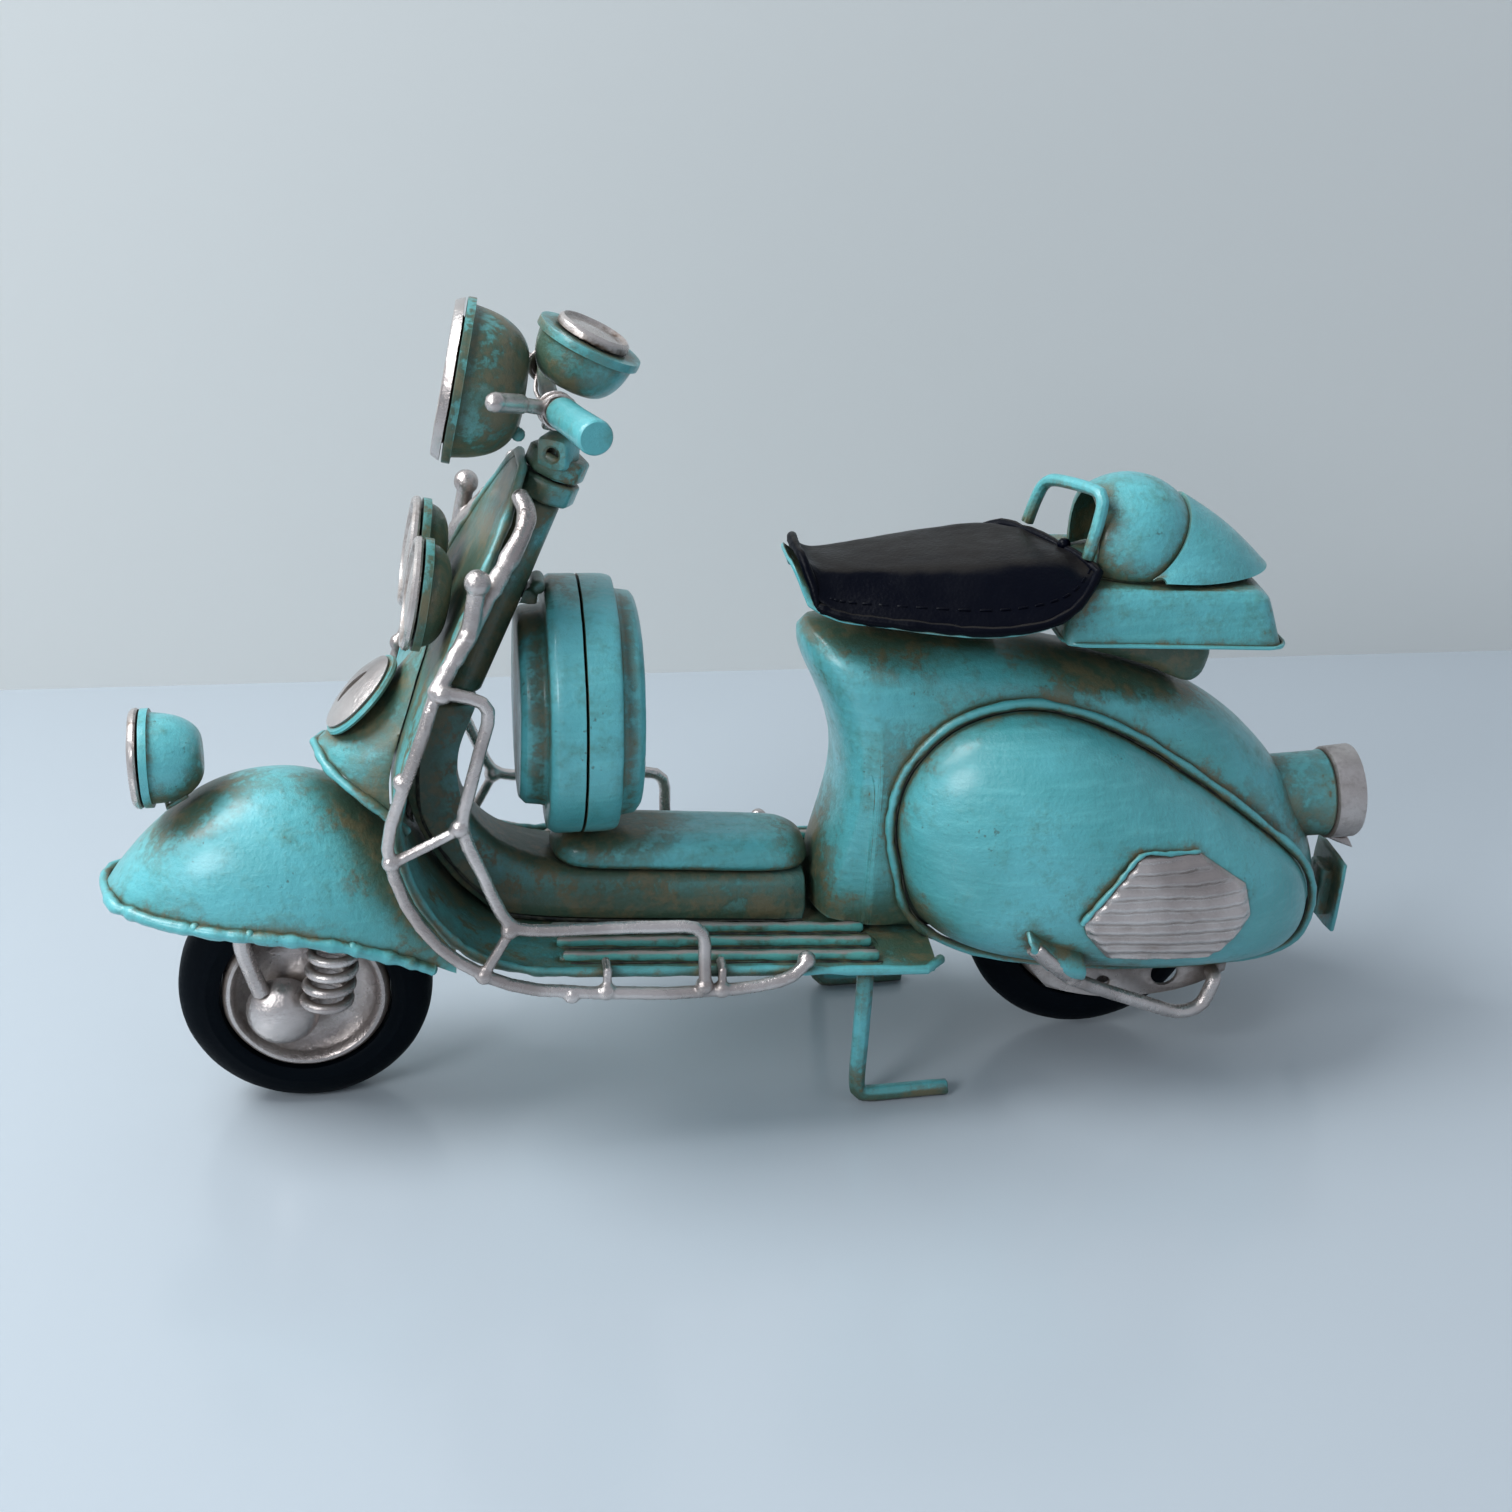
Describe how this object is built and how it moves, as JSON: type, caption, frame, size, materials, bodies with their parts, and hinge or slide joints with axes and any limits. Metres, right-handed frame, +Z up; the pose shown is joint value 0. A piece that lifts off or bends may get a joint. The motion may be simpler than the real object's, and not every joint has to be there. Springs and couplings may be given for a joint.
{
  "type": "tin toy scooter",
  "caption": "Hand-made tin motor scooter toy with step-through floor, steering, free-rolling wheels, fold-up centre stand and kick lever.",
  "frame": {"origin": "middle of the overall length and width, on the floor the toy stands on", "axes": "+X from the nose to the tail, +Y towards the rider's right, +Z up"},
  "size_m": [0.1898, 0.0536, 0.1208],
  "materials": {
    "turquoise": "satin turquoise enamel with an olive-brown patina",
    "silver": "brushed-on silver paint with a warm brown wash",
    "tyre": "smooth semi-gloss black",
    "seat_black": "satin blue-black paint made to look like leather",
    "dial": "silver paint, slightly glossy",
    "tail_red": "glossy dark red paint"
  },
  "bodies": {
    "frame": {"box_stand": "turquoise", "column_nut": "turquoise", "cowl_left": "turquoise", "cowl_right": "turquoise", "crash_bar_left": "silver", "crash_bar_right": "silver", "engine_plate_left": "silver", "engine_plate_right": "silver", "fender_hem": "turquoise", "fender_lamp_bowl": "turquoise", "fender_lamp_front": "dial", "front_fender": "turquoise", "grab_handle": "turquoise", "grille_left": "silver", "grille_right": "silver", "helmet_dome": "turquoise", "helmet_peak": "turquoise", "horn_disc": "silver", "leg_shield_floor": "turquoise", "nose_cover": "turquoise", "number_plate": "turquoise", "rear_axle": "silver", "rear_body": "turquoise", "rear_box": "turquoise", "seat": "seat_black", "seat_support": "turquoise", "spare_bracket": "turquoise", "spare_cover_back": "turquoise", "spare_cover_front": "turquoise", "spot_lamp_bowl_left": "turquoise", "spot_lamp_bowl_right": "turquoise", "spot_lamp_front_left": "dial", "spot_lamp_front_right": "dial", "steering_column": "turquoise", "tail_light_lens": "tail_red", "tail_light_ring": "silver", "tail_light_tube": "turquoise", "tunnel": "turquoise", "tunnel_pad": "turquoise"},
    "steering": {"steering_shaft": "silver", "stem": "turquoise", "handlebar": "turquoise", "grip_left": "turquoise", "grip_right": "turquoise", "brake_lever_left": "silver", "brake_lever_right": "silver", "headlight_bowl": "turquoise", "headlight_ring": "silver", "headlight_lens": "dial", "speedometer_bowl": "turquoise", "speedometer_dial": "dial", "fork": "silver", "front_spring": "silver", "front_axle": "silver"},
    "front_wheel": {"front_tyre": "tyre", "front_rim": "silver"},
    "rear_wheel": {"rear_tyre": "tyre", "rear_rim": "silver"},
    "stand": {"centre_stand": "turquoise"},
    "kick": {"kick_lever": "silver"}
  },
  "joints": [
    {"name": "steering_turn", "type": "hinge", "parent": "frame", "child": "steering", "pos_m": [-0.0265, 0, 0.09571], "axis": [0.4226, 0, 0.9063], "range_deg": [-12, 12]},
    {"name": "front_wheel_spin", "type": "hinge", "parent": "steering", "child": "front_wheel", "pos_m": [-0.06646, 0, 0.0187], "axis": [0, 1, 0], "continuous": true},
    {"name": "rear_wheel_spin", "type": "hinge", "parent": "frame", "child": "rear_wheel", "pos_m": [0.05312, 0, 0.02008], "axis": [0, 1, 0], "continuous": true},
    {"name": "stand_fold", "type": "hinge", "parent": "frame", "child": "stand", "pos_m": [0.01541, 0, 0.02278], "axis": [0, -1, 0], "range_deg": [0, 45]},
    {"name": "kick_lever_swing", "type": "hinge", "parent": "frame", "child": "kick", "pos_m": [0.07004, -0.013, 0.01499], "axis": [0, -1, 0], "range_deg": [0, 20]}
  ]
}
